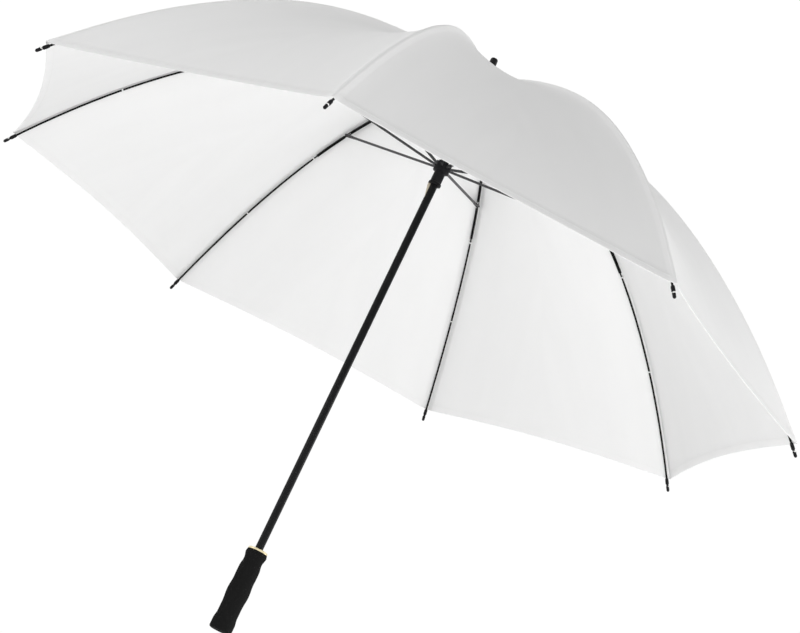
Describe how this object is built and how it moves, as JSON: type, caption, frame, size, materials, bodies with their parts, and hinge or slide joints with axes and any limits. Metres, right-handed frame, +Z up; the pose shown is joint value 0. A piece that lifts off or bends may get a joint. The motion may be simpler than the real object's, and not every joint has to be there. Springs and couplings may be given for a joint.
{
  "type": "golf umbrella",
  "caption": "Large folding umbrella with a straight shaft, stretchered steel ribs, a white panelled canopy and a straight foam grip.",
  "frame": {"origin": "centre of the grip's end face", "axes": "+Z up the shaft to the ferrule, +X halfway between the eighth and the first rib"},
  "size_m": [1.2028, 1.2028, 0.966],
  "materials": {
    "black_lacquer": "satin",
    "moulded_black": "satin",
    "bright_wire": "drawn",
    "spring_steel": "plated",
    "foam_black": "matt foam",
    "pale_brass": "polished",
    "black_steel": "satin",
    "grey_steel": "satin",
    "white_cloth": "woven"
  },
  "bodies": {
    "shaft_group": {"shaft": "black_lacquer", "ferrule": "moulded_black", "crown": "moulded_black", "crown_wire": "bright_wire", "canopy_washer": "moulded_black", "grip": "foam_black", "grip_core": "moulded_black", "grip_ring": "pale_brass"},
    "runner_group": {"runner": "moulded_black", "runner_wire": "bright_wire"},
    "top_catch": {"top_spring": "spring_steel"},
    "bottom_catch": {"bottom_spring": "spring_steel"},
    "rib_1": {"inner_rib_1": "black_steel", "gore_1": "white_cloth"},
    "rib_end_1": {"outer_rib_1": "black_steel", "rib_tip_1": "moulded_black"},
    "stretcher_1": {"stretcher_1": "grey_steel"},
    "rib_2": {"inner_rib_2": "black_steel", "gore_2": "white_cloth"},
    "rib_end_2": {"outer_rib_2": "black_steel", "rib_tip_2": "moulded_black"},
    "stretcher_2": {"stretcher_2": "grey_steel"},
    "rib_3": {"inner_rib_3": "black_steel", "gore_3": "white_cloth"},
    "rib_end_3": {"outer_rib_3": "black_steel", "rib_tip_3": "moulded_black"},
    "stretcher_3": {"stretcher_3": "grey_steel"},
    "rib_4": {"inner_rib_4": "black_steel", "gore_4": "white_cloth"},
    "rib_end_4": {"outer_rib_4": "black_steel", "rib_tip_4": "moulded_black"},
    "stretcher_4": {"stretcher_4": "grey_steel"},
    "rib_5": {"inner_rib_5": "black_steel", "gore_5": "white_cloth"},
    "rib_end_5": {"outer_rib_5": "black_steel", "rib_tip_5": "moulded_black"},
    "stretcher_5": {"stretcher_5": "grey_steel"},
    "rib_6": {"inner_rib_6": "black_steel", "gore_6": "white_cloth"},
    "rib_end_6": {"outer_rib_6": "black_steel", "rib_tip_6": "moulded_black"},
    "stretcher_6": {"stretcher_6": "grey_steel"},
    "rib_7": {"inner_rib_7": "black_steel", "gore_7": "white_cloth"},
    "rib_end_7": {"outer_rib_7": "black_steel", "rib_tip_7": "moulded_black"},
    "stretcher_7": {"stretcher_7": "grey_steel"},
    "rib_8": {"inner_rib_8": "black_steel", "gore_8": "white_cloth"},
    "rib_end_8": {"outer_rib_8": "black_steel", "rib_tip_8": "moulded_black"},
    "stretcher_8": {"stretcher_8": "grey_steel"}
  },
  "joints": [
    {"name": "rib_1_fold", "type": "hinge", "parent": "shaft_group", "child": "rib_1", "pos_m": [0.00924, 0.00383, 0.919], "axis": [-0.3827, 0.9239, 0], "range_deg": [0, 71.5], "deforming": ["top_spring", "bottom_spring", "gore_1", "gore_2", "gore_3", "gore_4", "gore_5", "gore_6", "gore_7", "gore_8"]},
    {"name": "rib_1_flex", "type": "hinge", "parent": "rib_1", "child": "rib_end_1", "pos_m": [0.29564, 0.12246, 0.8447], "axis": [-0.3827, 0.9239, 0], "range_deg": [-20.03, 0]},
    {"name": "stretcher_1_pivot", "type": "hinge", "parent": "rib_1", "child": "stretcher_1", "pos_m": [0.29564, 0.12246, 0.8447], "axis": [-0.3827, 0.9239, 0], "range_deg": [-143.01, 0]},
    {"name": "rib_2_fold", "type": "hinge", "parent": "shaft_group", "child": "rib_2", "pos_m": [0.00383, 0.00924, 0.919], "axis": [-0.9239, 0.3827, 0], "range_deg": [0, 71.5]},
    {"name": "rib_2_flex", "type": "hinge", "parent": "rib_2", "child": "rib_end_2", "pos_m": [0.12246, 0.29564, 0.8447], "axis": [-0.9239, 0.3827, 0], "range_deg": [-20.03, 0]},
    {"name": "stretcher_2_pivot", "type": "hinge", "parent": "rib_2", "child": "stretcher_2", "pos_m": [0.12246, 0.29564, 0.8447], "axis": [-0.9239, 0.3827, 0], "range_deg": [-143.01, 0]},
    {"name": "rib_3_fold", "type": "hinge", "parent": "shaft_group", "child": "rib_3", "pos_m": [-0.00383, 0.00924, 0.919], "axis": [-0.9239, -0.3827, 0], "range_deg": [0, 71.5]},
    {"name": "rib_3_flex", "type": "hinge", "parent": "rib_3", "child": "rib_end_3", "pos_m": [-0.12246, 0.29564, 0.8447], "axis": [-0.9239, -0.3827, 0], "range_deg": [-20.03, 0]},
    {"name": "stretcher_3_pivot", "type": "hinge", "parent": "rib_3", "child": "stretcher_3", "pos_m": [-0.12246, 0.29564, 0.8447], "axis": [-0.9239, -0.3827, 0], "range_deg": [-143.01, 0]},
    {"name": "rib_4_fold", "type": "hinge", "parent": "shaft_group", "child": "rib_4", "pos_m": [-0.00924, 0.00383, 0.919], "axis": [-0.3827, -0.9239, 0], "range_deg": [0, 71.5]},
    {"name": "rib_4_flex", "type": "hinge", "parent": "rib_4", "child": "rib_end_4", "pos_m": [-0.29564, 0.12246, 0.8447], "axis": [-0.3827, -0.9239, 0], "range_deg": [-20.03, 0]},
    {"name": "stretcher_4_pivot", "type": "hinge", "parent": "rib_4", "child": "stretcher_4", "pos_m": [-0.29564, 0.12246, 0.8447], "axis": [-0.3827, -0.9239, 0], "range_deg": [-143.01, 0]},
    {"name": "rib_5_fold", "type": "hinge", "parent": "shaft_group", "child": "rib_5", "pos_m": [-0.00924, -0.00383, 0.919], "axis": [0.3827, -0.9239, 0], "range_deg": [0, 71.5]},
    {"name": "rib_5_flex", "type": "hinge", "parent": "rib_5", "child": "rib_end_5", "pos_m": [-0.29564, -0.12246, 0.8447], "axis": [0.3827, -0.9239, 0], "range_deg": [-20.03, 0]},
    {"name": "stretcher_5_pivot", "type": "hinge", "parent": "rib_5", "child": "stretcher_5", "pos_m": [-0.29564, -0.12246, 0.8447], "axis": [0.3827, -0.9239, 0], "range_deg": [-143.01, 0]},
    {"name": "rib_6_fold", "type": "hinge", "parent": "shaft_group", "child": "rib_6", "pos_m": [-0.00383, -0.00924, 0.919], "axis": [0.9239, -0.3827, 0], "range_deg": [0, 71.5]},
    {"name": "rib_6_flex", "type": "hinge", "parent": "rib_6", "child": "rib_end_6", "pos_m": [-0.12246, -0.29564, 0.8447], "axis": [0.9239, -0.3827, 0], "range_deg": [-20.03, 0]},
    {"name": "stretcher_6_pivot", "type": "hinge", "parent": "rib_6", "child": "stretcher_6", "pos_m": [-0.12246, -0.29564, 0.8447], "axis": [0.9239, -0.3827, 0], "range_deg": [-143.01, 0]},
    {"name": "rib_7_fold", "type": "hinge", "parent": "shaft_group", "child": "rib_7", "pos_m": [0.00383, -0.00924, 0.919], "axis": [0.9239, 0.3827, 0], "range_deg": [0, 71.5]},
    {"name": "rib_7_flex", "type": "hinge", "parent": "rib_7", "child": "rib_end_7", "pos_m": [0.12246, -0.29564, 0.8447], "axis": [0.9239, 0.3827, 0], "range_deg": [-20.03, 0]},
    {"name": "stretcher_7_pivot", "type": "hinge", "parent": "rib_7", "child": "stretcher_7", "pos_m": [0.12246, -0.29564, 0.8447], "axis": [0.9239, 0.3827, 0], "range_deg": [-143.01, 0]},
    {"name": "rib_8_fold", "type": "hinge", "parent": "shaft_group", "child": "rib_8", "pos_m": [0.00924, -0.00383, 0.919], "axis": [0.3827, 0.9239, 0], "range_deg": [0, 71.5]},
    {"name": "rib_8_flex", "type": "hinge", "parent": "rib_8", "child": "rib_end_8", "pos_m": [0.29564, -0.12246, 0.8447], "axis": [0.3827, 0.9239, 0], "range_deg": [-20.03, 0]},
    {"name": "stretcher_8_pivot", "type": "hinge", "parent": "rib_8", "child": "stretcher_8", "pos_m": [0.29564, -0.12246, 0.8447], "axis": [0.3827, 0.9239, 0], "range_deg": [-143.01, 0]},
    {"name": "runner_pivot", "type": "hinge", "parent": "stretcher_1", "child": "runner_group", "pos_m": [0.00924, 0.00383, 0.77039], "axis": [-0.3827, 0.9239, 0], "range_deg": [0, 71.51]},
    {"name": "top_catch_press", "type": "slide", "parent": "shaft_group", "child": "top_catch", "axis": [1, 0, 0], "range_m": [0, 0.0038], "stiffness_N_per_m": 600, "springref_m": -0.002},
    {"name": "bottom_catch_press", "type": "slide", "parent": "shaft_group", "child": "bottom_catch", "axis": [0, -1, 0], "range_m": [0, 0.0038], "stiffness_N_per_m": 600, "springref_m": -0.002}
  ],
  "couplings": [
    {"joint": "rib_1_flex", "follows": "rib_1_fold", "ratio": -0.28},
    {"joint": "stretcher_1_pivot", "follows": "rib_1_fold", "ratio": -2},
    {"joint": "rib_2_fold", "follows": "rib_1_fold", "ratio": 1},
    {"joint": "rib_2_flex", "follows": "rib_1_fold", "ratio": -0.28},
    {"joint": "stretcher_2_pivot", "follows": "rib_1_fold", "ratio": -2},
    {"joint": "rib_3_fold", "follows": "rib_1_fold", "ratio": 1},
    {"joint": "rib_3_flex", "follows": "rib_1_fold", "ratio": -0.28},
    {"joint": "stretcher_3_pivot", "follows": "rib_1_fold", "ratio": -2},
    {"joint": "rib_4_fold", "follows": "rib_1_fold", "ratio": 1},
    {"joint": "rib_4_flex", "follows": "rib_1_fold", "ratio": -0.28},
    {"joint": "stretcher_4_pivot", "follows": "rib_1_fold", "ratio": -2},
    {"joint": "rib_5_fold", "follows": "rib_1_fold", "ratio": 1},
    {"joint": "rib_5_flex", "follows": "rib_1_fold", "ratio": -0.28},
    {"joint": "stretcher_5_pivot", "follows": "rib_1_fold", "ratio": -2},
    {"joint": "rib_6_fold", "follows": "rib_1_fold", "ratio": 1},
    {"joint": "rib_6_flex", "follows": "rib_1_fold", "ratio": -0.28},
    {"joint": "stretcher_6_pivot", "follows": "rib_1_fold", "ratio": -2},
    {"joint": "rib_7_fold", "follows": "rib_1_fold", "ratio": 1},
    {"joint": "rib_7_flex", "follows": "rib_1_fold", "ratio": -0.28},
    {"joint": "stretcher_7_pivot", "follows": "rib_1_fold", "ratio": -2},
    {"joint": "rib_8_fold", "follows": "rib_1_fold", "ratio": 1},
    {"joint": "rib_8_flex", "follows": "rib_1_fold", "ratio": -0.28},
    {"joint": "stretcher_8_pivot", "follows": "rib_1_fold", "ratio": -2},
    {"joint": "runner_pivot", "follows": "rib_1_fold", "ratio": 1}
  ]
}
